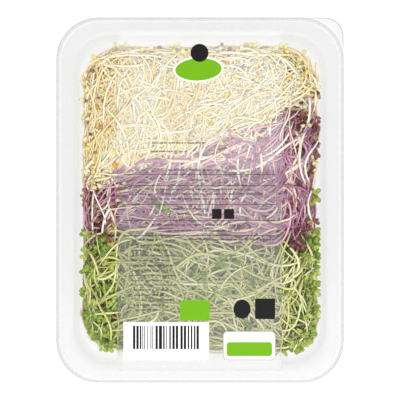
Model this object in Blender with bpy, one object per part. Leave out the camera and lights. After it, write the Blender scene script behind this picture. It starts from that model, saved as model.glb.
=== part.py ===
"""Mixed sprouts in a clear sealed tray: three tangled bunches side by side, under a film with a label strip.

Metres, +Z up. The origin is under the tray's centre, on the surface that the tray stands on.
+Y runs from the green bunch to the cream one, and the film's peel corner is at +X +Y.
"""

import math
import random

import bmesh
import bpy
import numpy as np
from mathutils import Vector

# Tray: its rim's outside, its height, and the corner radius at the rim
RIM_X = 0.1355
RIM_Y = 0.1720
RIM_CORNER = 0.0198
TRAY_HEIGHT = 0.0380
CORNER_TIGHTENING = 0.39
CORNER_STEPS = 7

# The wall's stations, as insets from the rim's outer edge, shared by the tray and by what lies in it
WALL_FOOT_INSET = 0.0127
WALL_FOOT_Z = 0.0032
LEDGE_INSET = 0.0112
LEDGE_Z = 0.0288
UPPER_WALL_INSET = 0.0100
WALL_TOP_INSET = 0.0092
SHEET = 0.0008

# Film and label strip, each lying on the one below with the gap that touching meshes keep
GAP = 0.0003
FILM_THICKNESS = 0.0004
FILM_INSET = 0.0004
PEEL_CORNER = 0.0085
LABEL_X = 0.0775
LABEL_Y = 0.1605
LABEL_THICKNESS = 0.0003

# Bunches of sprouts: their limits in the tray, and the small dense core that the stems stand out of
BED_FLOOR = 0.0030
STRAND_TOP = 0.0335
BUNCH_GAP = 0.0006
CREAM_EDGE_MIDDLE = 0.0277
CREAM_EDGE_SLOPE = 0.37
GREEN_EDGE_MIDDLE = -0.0175
GREEN_EDGE_WAVE = 0.0030
GREEN_EDGE_PERIOD = 0.0180
CORE_SHOULDER = 0.0135
CORE_TOP = 0.0180
CORE_COLUMNS = 9
CORE_ROWS = 4
CORE_FROM_WALL = 0.0120
CORE_FROM_NEIGHBOUR = 0.0065
CORE_UNEVENNESS = 0.0015
CORE_WAIST_Z = 0.0120
CORE_WAIST_SWELL = 1.03
CORE_FOOT_SWELL = 0.98

# Stems: how thick, how deep in the core they start, and how far apart they are kept
STEM_RADIUS = 0.00055
STEM_SIDES = 3
STEM_CLEARANCE = 0.0012
STEM_SUNK = 0.0035
STEM_SPACING = 0.0014
STEM_TRIES = 24
PATH_SAMPLES = 30
SUNK_SAMPLES = 4

# Arching stems, on the core's top and sides. ARCH_SHAPE holds shares of the way and of the crest's height
TOP_ARCH_LENGTHS = (0.028, 0.060)
TOP_ARCH_CRESTS = (0.0020, 0.0150)
SIDE_ARCH_LENGTHS = (0.018, 0.034)
SIDE_ARCH_CRESTS = (0.0025, 0.0100)
ARCH_SHAPE = ((0.14, 0.55), (0.36, 1.0), (0.64, 0.9), (0.86, 0.5))
ARCH_TURN = 0.45
ARCH_BOW = 0.0070
ARCH_WAVE = 0.0030
ARCH_POINTS = 7

# Stems that end in a pair of seed leaves
HEAD_REACH = 0.0130
HEAD_LEAN = 0.6
HEAD_BEND = 0.006
HEAD_POINTS = 4
HEAD_CROWDING = 0.6
LEAF_LENGTH = 0.0050
LEAF_THICKNESS = 0.0007
LEAF_CLEARANCE = 0.0048
LEAF_ARCH = 0.12
LEAF_ROOT_SUNK = 0.0006
LEAF_ROOT_STEP = 0.0002
LEAF_TRIANGLES = ((0, 1, 6), (1, 5, 6), (1, 3, 5), (1, 2, 3), (3, 4, 5))

SEED_RADIUS = 0.0011
SEED_GIRTH = 0.85

COLOURS = {
    "tray": (0.90, 0.91, 0.92),
    "lidding_film": (0.95, 0.96, 0.97),
    "label_strip": (0.86, 0.86, 0.85),
    "cream_sprouts": (0.84, 0.74, 0.46),
    "purple_sprouts": (0.42, 0.20, 0.34),
    "green_sprouts": (0.38, 0.50, 0.12),
}


def clear_scene():
    for obj in list(bpy.data.objects):
        bpy.data.objects.remove(obj, do_unlink=True)


def material(name, roughness, alpha=1.0):
    made = bpy.data.materials.new(name)
    made.use_nodes = True
    shader = made.node_tree.nodes["Principled BSDF"]
    shader.inputs["Base Color"].default_value = (*COLOURS[name], 1.0)
    shader.inputs["Roughness"].default_value = roughness
    shader.inputs["Metallic"].default_value = 0.0
    shader.inputs["Alpha"].default_value = alpha
    return made


def add_object(name, points, faces, surface=None):
    mesh = bpy.data.meshes.new(name)
    mesh.from_pydata([tuple(p) for p in points], [], faces)
    mesh.validate()
    work = bmesh.new()
    work.from_mesh(mesh)
    bmesh.ops.recalc_face_normals(work, faces=work.faces)
    bmesh.ops.triangulate(work, faces=work.faces)
    work.to_mesh(mesh)
    work.free()
    obj = bpy.data.objects.new(name, mesh)
    bpy.context.scene.collection.objects.link(obj)
    if surface:
        mesh.materials.append(surface)
    return obj


def corner_radius(inset):
    return RIM_CORNER - CORNER_TIGHTENING * inset


def rounded_loop(inset, z, corners=None):
    """A rounded rectangle at an inset from the rim. corners are four radii, from +X +Y anticlockwise."""
    half_x = RIM_X / 2 - inset
    half_y = RIM_Y / 2 - inset
    corners = corners or (corner_radius(inset),) * 4
    points = []
    for quadrant, radius in enumerate(corners):
        sign_x = (1, -1, -1, 1)[quadrant]
        sign_y = (1, 1, -1, -1)[quadrant]
        centre = Vector((sign_x * (half_x - radius), sign_y * (half_y - radius), z))
        for step in range(CORNER_STEPS + 1):
            angle = math.pi / 2 * (quadrant + step / CORNER_STEPS)
            points.append(centre + radius * Vector((math.cos(angle), math.sin(angle), 0)))
    return points


def skin(loops):
    """Points and faces of a closed body whose surface runs through the loops in order, capped at the ends."""
    count = len(loops[0])
    points = [p for loop in loops for p in loop]
    faces = [tuple(range(count))]
    for row in range(len(loops) - 1):
        for i in range(count):
            j = (i + 1) % count
            here = row * count
            faces.append((here + i, here + j, here + count + j, here + count + i))
    faces.append(tuple(range((len(loops) - 1) * count, len(loops) * count)))
    return points, faces


def build_tray():
    """One formed sheet: raised floor panel, foot ring, wall with a stacking ledge, flange and turned lip."""
    upper = [
        (0.0270, 0.0016 + SHEET),
        (0.0250, SHEET),
        (0.0150, SHEET),
        (WALL_FOOT_INSET, WALL_FOOT_Z),
        (LEDGE_INSET, LEDGE_Z),
        (UPPER_WALL_INSET, LEDGE_Z + SHEET),
        (WALL_TOP_INSET, TRAY_HEIGHT - 0.0010),
        (0.0084, TRAY_HEIGHT),
        (0.0012, TRAY_HEIGHT),
        (0.0003, TRAY_HEIGHT - 0.0006),
        (0.0, TRAY_HEIGHT - 0.0032),
    ]
    under = [
        (0.0007, TRAY_HEIGHT - 0.0032),
        (0.0012, TRAY_HEIGHT - 0.0012),
        (0.0019, TRAY_HEIGHT - SHEET),
        (0.0077, TRAY_HEIGHT - SHEET),
        (WALL_TOP_INSET - SHEET, TRAY_HEIGHT - 0.0015),
        (UPPER_WALL_INSET - SHEET, LEDGE_Z),
        (LEDGE_INSET - SHEET, LEDGE_Z - 0.0006),
        (WALL_FOOT_INSET - SHEET, WALL_FOOT_Z - 0.0004),
        (0.0146, 0.0),
        (0.0254, 0.0),
        (0.0274, 0.0016),
    ]
    loops = [rounded_loop(inset, z) for inset, z in upper + under]
    tray = add_object("tray", *skin(loops), material("tray", 0.2, 0.3))
    tray.data.shade_smooth()
    tray.data.set_sharp_from_angle(angle=math.radians(35))


def build_film():
    """The sealed film, with one square-cut corner that stands past the tray's round one to be peeled."""
    corners = (PEEL_CORNER,) + (corner_radius(FILM_INSET),) * 3
    low = TRAY_HEIGHT + GAP
    loops = [rounded_loop(FILM_INSET, z, corners) for z in (low, low + FILM_THICKNESS)]
    add_object("lidding_film", *skin(loops), material("lidding_film", 0.1, 0.2))


def build_label():
    low = TRAY_HEIGHT + GAP + FILM_THICKNESS + GAP
    loops = []
    for z in (low, low + LABEL_THICKNESS):
        ways = ((1, 1), (-1, 1), (-1, -1), (1, -1))
        loops.append([Vector((x * LABEL_X / 2, y * LABEL_Y / 2, z)) for x, y in ways])
    add_object("label_strip", *skin(loops), material("label_strip", 0.4, 0.5))


def wall_half(side, z):
    """How far the tray's inner wall is from the middle at a height."""
    if z < LEDGE_Z:
        share = max(0.0, (z - WALL_FOOT_Z) / (LEDGE_Z - WALL_FOOT_Z))
        return side / 2 - WALL_FOOT_INSET + share * (WALL_FOOT_INSET - LEDGE_INSET)
    return side / 2 - UPPER_WALL_INSET


def wall_y(x, z, margin):
    """The largest y that keeps a margin to the wall at this x, round the corner too."""
    half_x = wall_half(RIM_X, z) - margin
    half_y = wall_half(RIM_Y, z) - margin
    radius = corner_radius(WALL_FOOT_INSET) - margin
    past = max(0.0, min(abs(x), half_x) - (half_x - radius))
    return half_y - radius + math.sqrt(max(0.0, radius * radius - past * past))


def cream_edge(x):
    return CREAM_EDGE_MIDDLE + CREAM_EDGE_SLOPE * x


def green_edge(x):
    return GREEN_EDGE_MIDDLE - GREEN_EDGE_WAVE * math.sin(x / GREEN_EDGE_PERIOD)


class Zone:
    """The part of the tray that one bunch fills. An edge is a function of x, or None where the wall is."""

    def __init__(self, low_edge, high_edge):
        self.low_edge = low_edge
        self.high_edge = high_edge

    def low(self, x, z, margin):
        if self.low_edge is None:
            return -wall_y(x, z, margin)
        return self.low_edge(x) + BUNCH_GAP / 2 + margin

    def high(self, x, z, margin):
        if self.high_edge is None:
            return wall_y(x, z, margin)
        return self.high_edge(x) - BUNCH_GAP / 2 - margin

    def core_span(self, x, extra=0.0):
        """The lowest and highest y of the core at this x."""
        low_margin = CORE_FROM_WALL if self.low_edge is None else CORE_FROM_NEIGHBOUR
        high_margin = CORE_FROM_WALL if self.high_edge is None else CORE_FROM_NEIGHBOUR
        low = self.low(x, CORE_SHOULDER, low_margin + extra)
        return low, self.high(x, CORE_SHOULDER, high_margin + extra)

    def keep_inside(self, point, margin):
        """The point moved, if need be, to keep a margin to the walls, the floor and the next bunches."""
        z = min(max(point.z, BED_FLOOR + margin), STRAND_TOP)
        limit = wall_half(RIM_X, z) - margin
        x = min(max(point.x, -limit), limit)
        y = min(max(point.y, self.low(x, z, margin)), self.high(x, z, margin))
        return Vector((x, y, z))


ZONES = {
    "cream": Zone(cream_edge, None),
    "purple": Zone(green_edge, cream_edge),
    "green": Zone(None, green_edge),
}


def lump(x, y):
    """The core's unevenness, from -1 to 1."""
    across = math.sin(x * 310 + 1.3 * math.sin(y * 170))
    along = math.sin(y * 270 + 1.7 * math.sin(x * 190))
    return (across + along) / 2


def core_half_x():
    return wall_half(RIM_X, CORE_SHOULDER) - CORE_FROM_WALL


def build_core(name, zone):
    """The dense middle of the tangle, as an uneven block in the bunch's outline."""
    grid = []
    for row in range(CORE_ROWS + 1):
        line = []
        for column in range(CORE_COLUMNS + 1):
            edge = row in (0, CORE_ROWS) or column in (0, CORE_COLUMNS)
            x = core_half_x() * (2 * column / CORE_COLUMNS - 1)
            first, last = zone.core_span(x)
            y = first + (last - first) * row / CORE_ROWS
            z = CORE_SHOULDER if edge else CORE_TOP
            line.append(Vector((x, y, z + CORE_UNEVENNESS * lump(x, y))))
        grid.append(line)
    points = [p for line in grid for p in line]
    width = CORE_COLUMNS + 1
    faces = []
    for row in range(CORE_ROWS):
        for column in range(CORE_COLUMNS):
            a = row * width + column
            faces.append((a, a + 1, a + 1 + width, a + width))
    border = [(0, c) for c in range(CORE_COLUMNS)]
    border += [(r, CORE_COLUMNS) for r in range(CORE_ROWS)]
    border += [(CORE_ROWS, c) for c in range(CORE_COLUMNS, 0, -1)]
    border += [(r, 0) for r in range(CORE_ROWS, 0, -1)]
    ring = [r * width + c for r, c in border]
    for z, swell in ((CORE_WAIST_Z, CORE_WAIST_SWELL), (BED_FLOOR, CORE_FOOT_SWELL)):
        below = list(range(len(points), len(points) + len(border)))
        for r, c in border:
            at = zone.keep_inside(grid[r][c] * swell, CORE_FROM_NEIGHBOUR - CORE_UNEVENNESS)
            points.append(Vector((at.x, at.y, z)))
        for i, here in enumerate(ring):
            j = (i + 1) % len(ring)
            faces.append((here, ring[j], below[j], below[i]))
        ring = below
    faces.append(tuple(ring))
    return add_object(name, points, faces)


def smooth_path(controls, count):
    """count points on a smooth curve through the control points."""
    padded = [controls[0] * 2 - controls[1], *controls, controls[-1] * 2 - controls[-2]]
    points = []
    for k in range(count):
        place = k * (len(controls) - 1) / (count - 1)
        i = min(int(place), len(controls) - 2)
        t = place - i
        a, b, c, d = padded[i:i + 4]
        points.append(0.5 * (2 * b + (c - a) * t + (2 * a - 5 * b + 4 * c - d) * t ** 2
                             + (3 * b - a - 3 * c + d) * t ** 3))
    return points


def tube(path, radius, sides):
    """Points and faces of a closed tube along a path."""
    loops = []
    side = (path[1] - path[0]).orthogonal().normalized()
    for i, centre in enumerate(path):
        ahead = (path[min(i + 1, len(path) - 1)] - path[max(i - 1, 0)]).normalized()
        side = (side - ahead * side.dot(ahead)).normalized()
        other = ahead.cross(side)
        loop = []
        for k in range(sides):
            angle = 2 * math.pi * k / sides
            loop.append(centre + radius * (math.cos(angle) * side + math.sin(angle) * other))
        loops.append(loop)
    return skin(loops)


def leaf(root, outward, up, length, notch):
    """A seed leaf: a flat lobe on a narrow foot, notched at its tip where the kind has that."""
    outward = outward.normalized()
    across = outward.cross(up).normalized()
    normal = across.cross(outward).normalized()
    outline = [(0.0, 0.10), (0.50, 0.38), (0.90, 0.30), (1.0 - notch * 0.22, 0.0)]
    outline += [(along, -wide) for along, wide in reversed(outline[:3])]
    loops = []
    for height in (-LEAF_THICKNESS / 2, LEAF_THICKNESS / 2):
        loop = []
        for along, wide in outline:
            arch = LEAF_ARCH * length * math.sin(math.pi * along)
            loop.append(root + outward * along * length + across * wide * length + normal * (height + arch))
        loops.append(loop)
    points, faces = skin(loops)
    sides = faces[1:-1]
    for base in (0, len(outline)):
        sides += [tuple(base + corner for corner in triangle) for triangle in LEAF_TRIANGLES]
    return points, sides


def seed_coat(centre, axis):
    """An empty seed coat, as a small eight-sided bead."""
    axis = axis.normalized()
    side = axis.orthogonal().normalized()
    other = axis.cross(side)
    points = [centre + axis * SEED_RADIUS, centre - axis * SEED_RADIUS]
    for turn in range(4):
        angle = turn * math.pi / 2
        points.append(centre + SEED_RADIUS * SEED_GIRTH * (math.cos(angle) * side + math.sin(angle) * other))
    faces = []
    for k in range(4):
        j = (k + 1) % 4
        faces.append((0, 2 + k, 2 + j))
        faces.append((1, 2 + j, 2 + k))
    return points, faces


def core_spots(draw, zone, crowding):
    """Endless random spots on the core's top and sides, roughly by area, as (point, outward normal).

    A crowding under 1 brings more of them towards the two ends, where the seed leaves lie.
    """
    half = core_half_x()
    low, high = zone.core_span(0.0)
    top_area = 2 * half * (high - low)
    end_area = 2 * (CORE_TOP - BED_FLOOR) * (high - low) / crowding
    side_area = 2 * (CORE_TOP - BED_FLOOR) * half
    while True:
        across = draw.uniform(-1, 1)
        x = half * math.copysign(abs(across) ** crowding, across)
        z = draw.uniform(BED_FLOOR + STEM_SUNK, CORE_TOP)
        way = draw.choice((-1, 1))
        where = draw.uniform(0.0, top_area + end_area + side_area)
        if where < top_area:
            yield Vector((x, draw.uniform(*zone.core_span(x)), CORE_TOP)), Vector((0, 0, 1))
        elif where < top_area + end_area:
            yield Vector((way * half, draw.uniform(*zone.core_span(way * half)), z)), Vector((way, 0, 0))
        else:
            low, high = zone.core_span(x)
            yield Vector((x, high if way > 0 else low, z)), Vector((0, way, 0))


def between(value, low, high):
    """The value held between two limits, or their middle where they have crossed."""
    return min(max(value, low), high) if low < high else (low + high) / 2


def foot(zone, point):
    """The point moved well into the core, where a stem starts or ends."""
    half = core_half_x() - STEM_SUNK
    x = between(point.x, -half, half)
    y = between(point.y, *zone.core_span(x, STEM_SUNK))
    return Vector((x, y, between(point.z, BED_FLOOR + STEM_SUNK, CORE_SHOULDER - STEM_SUNK)))


def arch_controls(draw, zone, spot, outward):
    """The route of a stem that leaves the core, runs over its surface and dives back in."""
    on_top = outward.z > 0.5
    level = Vector((1, 0, 0)) if abs(outward.x) < 0.5 else Vector((0, 1, 0))
    turn = draw.gauss(0.0, ARCH_TURN)
    along = level * math.cos(turn) + outward.cross(level) * math.sin(turn)
    length = draw.uniform(*(TOP_ARCH_LENGTHS if on_top else SIDE_ARCH_LENGTHS))
    crest = draw.uniform(*(TOP_ARCH_CRESTS if on_top else SIDE_ARCH_CRESTS))
    start = foot(zone, spot - along * length / 2)
    end = foot(zone, spot + along * length / 2)
    bow = outward.cross(along) * draw.uniform(-ARCH_BOW, ARCH_BOW)
    wave = outward.cross(along) * draw.uniform(-ARCH_WAVE, ARCH_WAVE)
    surface = outward * (spot - start).dot(outward)
    controls = [start]
    for share, height in ARCH_SHAPE:
        at = start.lerp(end, share) + surface + outward * crest * height
        at += bow * 4 * share * (1 - share) + wave * math.sin(2 * math.pi * share)
        controls.append(zone.keep_inside(at, STEM_CLEARANCE))
    return [*controls, end]


def head_controls(draw, zone, spot, outward):
    """The route of a stem that leaves the core and ends outside it."""
    lean = Vector([draw.uniform(-HEAD_LEAN, HEAD_LEAN) for _ in range(3)])
    tip = zone.keep_inside(spot + (outward + lean) * HEAD_REACH, LEAF_CLEARANCE)
    root = foot(zone, spot - outward * STEM_SUNK)
    middle = (root + tip) / 2 + lean.cross(outward) * HEAD_BEND
    return [root, zone.keep_inside(middle, STEM_CLEARANCE), tip]


def room_round(path, taken):
    """How near a path comes to the points that other stems have taken."""
    if not taken:
        return STEM_SPACING
    apart = np.asarray(path)[:, None, :] - np.asarray(taken)[None, :, :]
    return math.sqrt((apart ** 2).sum(axis=2).min())


def clear_route(draw, zone, spots, taken, controls_of, reach):
    """A route that passes the other stems without touching them, or the best found. reach adds to its tip."""
    best_room = -1.0
    for _ in range(STEM_TRIES):
        controls = controls_of(draw, zone, *next(spots))
        path = smooth_path(controls, PATH_SAMPLES)[SUNK_SAMPLES:]
        if reach:
            path.append(path[-1] + (path[-1] - path[-2]).normalized() * reach)
        else:
            del path[-SUNK_SAMPLES:]
        room = room_round(path, taken)
        if room > best_room:
            best_room, best_controls, best_path = room, controls, path
        if room >= STEM_SPACING:
            break
    taken.extend(best_path)
    return best_controls


def seed_leaves(draw, controls, notch):
    """The pair of seed leaves at the end of a stem."""
    ahead = (controls[2] - controls[1]).normalized()
    up = Vector([draw.uniform(-1, 1) for _ in range(3)])
    spread = ahead.cross(up).normalized()
    length = LEAF_LENGTH * draw.uniform(0.8, 1.0)
    shapes = []
    for way in (1, -1):
        step = LEAF_ROOT_STEP * way
        root = controls[2] - ahead * (LEAF_ROOT_SUNK + step) + spread * step / 2
        shapes.append(leaf(root, ahead * 0.6 + spread * way * 0.8, up, length * (1 + 0.03 * way), notch))
    return shapes


def build_bunch(name, zone, arches, heads, seeds, notch, seed_number):
    """A tangled bunch as one body: its core with arching stems, headed stems and seed coats sunk into it."""
    draw = random.Random(seed_number)
    core = build_core(name, zone)
    core.data.materials.append(material(name, 0.6))
    taken = []
    shapes = []
    spots = core_spots(draw, zone, HEAD_CROWDING)
    for _ in range(heads):
        controls = clear_route(draw, zone, spots, taken, head_controls, LEAF_LENGTH / 2)
        shapes.append(tube(smooth_path(controls, HEAD_POINTS), STEM_RADIUS, STEM_SIDES))
        shapes += seed_leaves(draw, controls, notch)
    spots = core_spots(draw, zone, 1.0)
    for _ in range(arches):
        controls = clear_route(draw, zone, spots, taken, arch_controls, 0)
        shapes.append(tube(smooth_path(controls, ARCH_POINTS), STEM_RADIUS, STEM_SIDES))
    for _ in range(seeds):
        spot, outward = next(spots)
        shapes.append(seed_coat(spot, outward + Vector((draw.uniform(-1, 1), draw.uniform(-1, 1), 0))))
    fuse(core, shapes)


def fuse(core, shapes):
    """Joins the shapes to the core with one Boolean union, and keeps its one main body."""
    group = bpy.data.collections.new(core.name + "_pieces")
    bpy.context.scene.collection.children.link(group)
    for points, faces in shapes:
        piece = add_object(core.name + "_piece", points, faces)
        bpy.context.scene.collection.objects.unlink(piece)
        group.objects.link(piece)
    union = core.modifiers.new("union", "BOOLEAN")
    union.operation = "UNION"
    union.solver = "MANIFOLD"
    union.operand_type = "COLLECTION"
    union.collection = group
    graph = bpy.context.evaluated_depsgraph_get()
    joined = bpy.data.meshes.new_from_object(core.evaluated_get(graph))
    core.modifiers.clear()
    core.data = joined
    for piece in list(group.objects):
        bpy.data.objects.remove(piece, do_unlink=True)
    bpy.data.collections.remove(group)
    keep_main_body(core.data)


def keep_main_body(mesh):
    """Drops loose scraps, slivers folded flat, and the inner skins of hollows that the union sealed."""
    work = bmesh.new()
    work.from_mesh(mesh)
    bmesh.ops.triangulate(work, faces=work.faces)
    unseen = set(work.faces)
    bodies = []
    while unseen:
        front = [unseen.pop()]
        body = list(front)
        while front:
            for edge in front.pop().edges:
                for face in edge.link_faces:
                    if face in unseen:
                        unseen.remove(face)
                        body.append(face)
                        front.append(face)
        bodies.append(body)
    bodies.sort(key=len)
    for body in bodies[:-1]:
        bmesh.ops.delete(work, geom=body, context="FACES")
    work.to_mesh(mesh)
    work.free()


def main():
    clear_scene()
    build_tray()
    build_film()
    build_label()
    build_bunch("cream_sprouts", ZONES["cream"], arches=50, heads=16, seeds=6, notch=0, seed_number=13)
    build_bunch("purple_sprouts", ZONES["purple"], arches=47, heads=16, seeds=5, notch=1, seed_number=25)
    build_bunch("green_sprouts", ZONES["green"], arches=47, heads=19, seeds=2, notch=0, seed_number=37)


main()
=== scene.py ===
import math

import bpy
import numpy as np
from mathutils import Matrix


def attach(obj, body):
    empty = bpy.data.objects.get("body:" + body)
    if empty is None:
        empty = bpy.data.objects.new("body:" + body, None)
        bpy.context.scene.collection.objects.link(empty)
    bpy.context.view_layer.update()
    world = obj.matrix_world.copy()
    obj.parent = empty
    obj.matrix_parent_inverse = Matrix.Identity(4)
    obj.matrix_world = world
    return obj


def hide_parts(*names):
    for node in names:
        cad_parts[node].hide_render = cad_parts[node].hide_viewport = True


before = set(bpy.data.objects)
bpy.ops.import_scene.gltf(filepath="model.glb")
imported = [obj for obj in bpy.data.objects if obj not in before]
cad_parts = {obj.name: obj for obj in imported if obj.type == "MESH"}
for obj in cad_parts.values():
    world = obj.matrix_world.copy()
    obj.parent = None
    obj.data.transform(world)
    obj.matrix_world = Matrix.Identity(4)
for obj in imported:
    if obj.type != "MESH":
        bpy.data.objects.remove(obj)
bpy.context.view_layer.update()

ROOT = "root"

# The photograph's frame: metres a pixel at the rim, and its middle, which is over the tray's middle
PIXEL = 0.00047
IMAGE_MIDDLE = 200
FRAME_PIXELS = 400
CAMERA_ABOVE_RIM = 1.5
SENSOR = 36.0

# Tray, film and label strip, as the CAD model has them
RIM_X = 0.1355
RIM_Y = 0.1720
RIM_CORNER = 0.0198
CORNER_TIGHTENING = 0.39
TRAY_HEIGHT = 0.0380
WALL_FOOT_INSET = 0.0127
WALL_FOOT_Z = 0.0032
LEDGE_INSET = 0.0112
LEDGE_Z = 0.0288
UPPER_WALL_INSET = 0.0100
WALL_TOP_INSET = 0.0092
SHEET = 0.0008
FILM_LOW = 0.0383
FILM_INSET = 0.0004
PEEL_CORNER = 0.0085
PEEL_DENSITY = 4.0
LABEL_LOW = 0.0390
LABEL_X = 0.0775
LABEL_Y = 0.1605
CORNER_STEPS = 18

# Bunches: the borders between them, and the height that their top reaches
CREAM_EDGE_MIDDLE = 0.0277
CREAM_EDGE_SLOPE = 0.37
GREEN_EDGE_MIDDLE = -0.0175
GREEN_EDGE_WAVE = 0.0030
GREEN_EDGE_PERIOD = 0.0180
BED_FLOOR = 0.0032
BED_TOP = 0.0362
END_GAP = 0.0010
SIDE_GAP = 0.0003
BED_CORNER = 0.0190

# The floor panel's underside, the thickness of film and strip, and the width of the peel corner's edge
FLOOR_PANEL = 0.0016
FILM_SHEET = 0.0004
LABEL_SHEET = 0.0003
PEEL_BLEND = 0.0006

# Heights at which the walls are measured, how the bed sinks towards them, and room round the cores
MIDDLE_Z = 0.02
UPPER_Z = 0.03
EDGE_WIDTH = 0.007
EDGE_DROP = 0.006
CORE_ROOM = 0.0065
CORE_GAP = 0.0002

# Half the width of the imported middle and of its blend, and how far down leaves get their full painted
# shade
PACKED_HALF = 0.034
PACKED_BLEND = 0.005
LEAF_SHADE_DEPTH = 0.014

# Stems: points along and sides round them, radii, unevenness, where they lie on the walls,
# and how many are drawn for each one kept
TOP_POINTS = 13
LOW_POINTS = 11
TUBE_SIDES = 5
SIDE_RADIUS = 0.00048
FLOOR_RADIUS = 0.00050
UNEVEN = 0.30
WALL_HEIGHTS = (0.005, 0.031)
END_WALL_HALF = 0.055
DRAWN_FOR_ONE = 1.8

WHITE = (1.0, 1.0, 1.0)


def spot(px, py):
    """The place under a pixel of the photograph."""
    return (px - IMAGE_MIDDLE) * PIXEL, (IMAGE_MIDDLE - py) * PIXEL


def grey(value):
    return (value, value, value)


# Materials

class Surface:
    """A material in the making. A value is a number, a colour or another node's socket."""

    def __init__(self, name):
        self.material = bpy.data.materials.new(name)
        self.material.use_nodes = True
        self.tree = self.material.node_tree
        self.shader = self.tree.nodes["Principled BSDF"]

    def feed(self, node, values):
        """Links or sets a node's inputs, given by name or number."""
        for key, value in values.items():
            socket = node.inputs[key]
            if isinstance(value, bpy.types.NodeSocket):
                self.tree.links.new(value, socket)
            else:
                socket.default_value = (*value, 1.0) if socket.type == "RGBA" else value

    def node(self, kind, output, values, **settings):
        made = self.tree.nodes.new(kind)
        for setting, value in settings.items():
            setattr(made, setting, value)
        self.feed(made, values)
        return made.outputs[output]

    def ramp(self, value, stops):
        """A colour by a value, from (place, (r, g, b)) stops, the colours linear."""
        made = self.tree.nodes.new("ShaderNodeValToRGB")
        elements = made.color_ramp.elements
        while len(elements) > 1:
            elements.remove(elements[-1])
        for i, (place, colour) in enumerate(stops):
            element = elements[0] if i == 0 else elements.new(place)
            element.position = place
            element.color = (*colour, 1.0)
        self.feed(made, {"Fac": value})
        return made.outputs["Color"]

    def attribute(self, name):
        return self.node("ShaderNodeAttribute", "Fac", {}, attribute_name=name)

    def place(self):
        return self.node("ShaderNodeTexCoord", "Object", {})

    def along(self, axis):
        return self.node("ShaderNodeSeparateXYZ", axis, {"Vector": self.place()})

    def noise(self, scale, detail=3.0, roughness=0.5):
        values = {"Vector": self.place(), "Scale": scale, "Detail": detail, "Roughness": roughness}
        return self.node("ShaderNodeTexNoise", "Fac", values)

    def mix(self, share, first, second, blend="MIX"):
        """A colour mix. The mix node has its colour sockets at 6, 7 and 2."""
        values = {0: share, 6: first, 7: second}
        return self.node("ShaderNodeMix", 2, values, data_type="RGBA", blend_type=blend)

    def calculated(self, operation, first, second=0.0):
        return self.node("ShaderNodeMath", "Value", {0: first, 1: second}, operation=operation)

    def spread(self, value, low, high, to_low, to_high):
        """A value's range from low to high, taken to another one and kept in it."""
        values = {"Value": value, "From Min": low, "From Max": high, "To Min": to_low, "To Max": to_high}
        return self.node("ShaderNodeMapRange", "Result", values)

    def bump(self, height, strength, distance):
        values = {"Strength": strength, "Distance": distance, "Height": height}
        self.feed(self.shader, {"Normal": self.node("ShaderNodeBump", "Normal", values)})

    def finish(self, values):
        self.feed(self.shader, values)
        return self.material


def plant_material(name, shades, shade_and_glow_colour, roughness, painted_glow=0.0):
    """Stems or leaves: a colour by its tint, streaks on it, painted shade deep in the tangle, and a painted
    glow.
    """
    made = Surface(name)
    streaks = made.ramp(made.noise(900.0), ((0.3, (0.82, 0.80, 0.78)), (0.7, WHITE)))
    coloured = made.mix(1.0, made.ramp(made.attribute("tint"), shades), streaks, "MULTIPLY")
    made.bump(made.noise(2600.0), 0.25, 0.0002)
    return made.finish({
        # Painted shade: the shade colour is mixed in by the attribute that holds the painted shade, most
        # deep in the tangle.
        "Base Color": made.mix(made.attribute("painted_shade"), coloured, shade_and_glow_colour),
        "Roughness": roughness,
        "Specular IOR Level": 0.5,
        "Subsurface Weight": 0.8,
        "Subsurface Radius": (1.0, 0.85, 0.65),
        "Subsurface Scale": 0.0009,
        # Painted glow in the shade colour, which lifts the darks though the stems are no lamp.
        "Emission Color": shade_and_glow_colour,
        "Emission Strength": painted_glow,
    })


def core_material(name, dark, pale, packed):
    """The tangle's middle: fine strands from dark to pale, and more even where it is packed. The painted
    shade attribute mixes the two, so the dark strands are painted shade.
    """
    made = Surface(name)
    fine = made.noise(700.0, 5.0, 0.7)
    strands = made.ramp(fine, ((0.35, dark), (0.62, pale)))
    even = made.ramp(fine, ((0.35, tuple(0.8 * c for c in packed)), (0.62, packed)))
    made.bump(made.noise(900.0, 4.0), 1.0, 0.001)
    return made.finish({"Base Color": made.mix(made.attribute("painted_shade"), even, strands), "Roughness": 0.7})


def sheet_density(made):
    """How thick the formed sheet is, kept in its mesh."""
    return made.attribute("sheet")


def peel_density(made):
    """1 over the tray, and more at the peel corner, where the film stands past the round corner."""
    squares = []
    for axis, half in (("X", RIM_X / 2), ("Y", RIM_Y / 2)):
        past = made.calculated("SUBTRACT", made.along(axis), half - RIM_CORNER)
        past = made.calculated("MAXIMUM", past, 0.0)
        squares.append(made.calculated("POWER", past, 2.0))
    off = made.calculated("SQRT", made.calculated("ADD", *squares))
    return made.spread(off, RIM_CORNER, RIM_CORNER + PEEL_BLEND, 1.0, PEEL_DENSITY)


def clear_material(name, colour, face_on, edge_on, roughness, haze, ripple, density):
    """Clear plastic: thin face on, denser and glossier edge on, with faint clouding and ripples."""
    made = Surface(name)
    darker = tuple(0.96 * c for c in colour)
    facing = made.node("ShaderNodeLayerWeight", "Facing", {"Blend": 0.35})
    clouds = made.calculated("MULTIPLY", made.noise(60.0), haze)
    alpha = made.calculated("ADD", made.spread(facing, 0.0, 1.0, face_on, edge_on), clouds)
    if ripple:
        made.bump(made.noise(45.0, 1.0), ripple, 0.002)
    return made.finish({
        "Base Color": made.ramp(made.noise(120.0), ((0.3, darker), (0.7, colour))),
        "Roughness": roughness,
        "Alpha": made.calculated("MULTIPLY", alpha, density(made)),
    })


def print_material(name, colour, alpha=1.0, roughness=0.5):
    """Ink on the strip, with a slight unevenness of the printing."""
    made = Surface(name)
    darker = tuple(c * 0.9 for c in colour)
    return made.finish({
        "Base Color": made.ramp(made.noise(1800.0), ((0.35, darker), (0.65, colour))),
        "Roughness": roughness,
        "Specular IOR Level": 0.1,
        "Alpha": alpha,
    })


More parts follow.
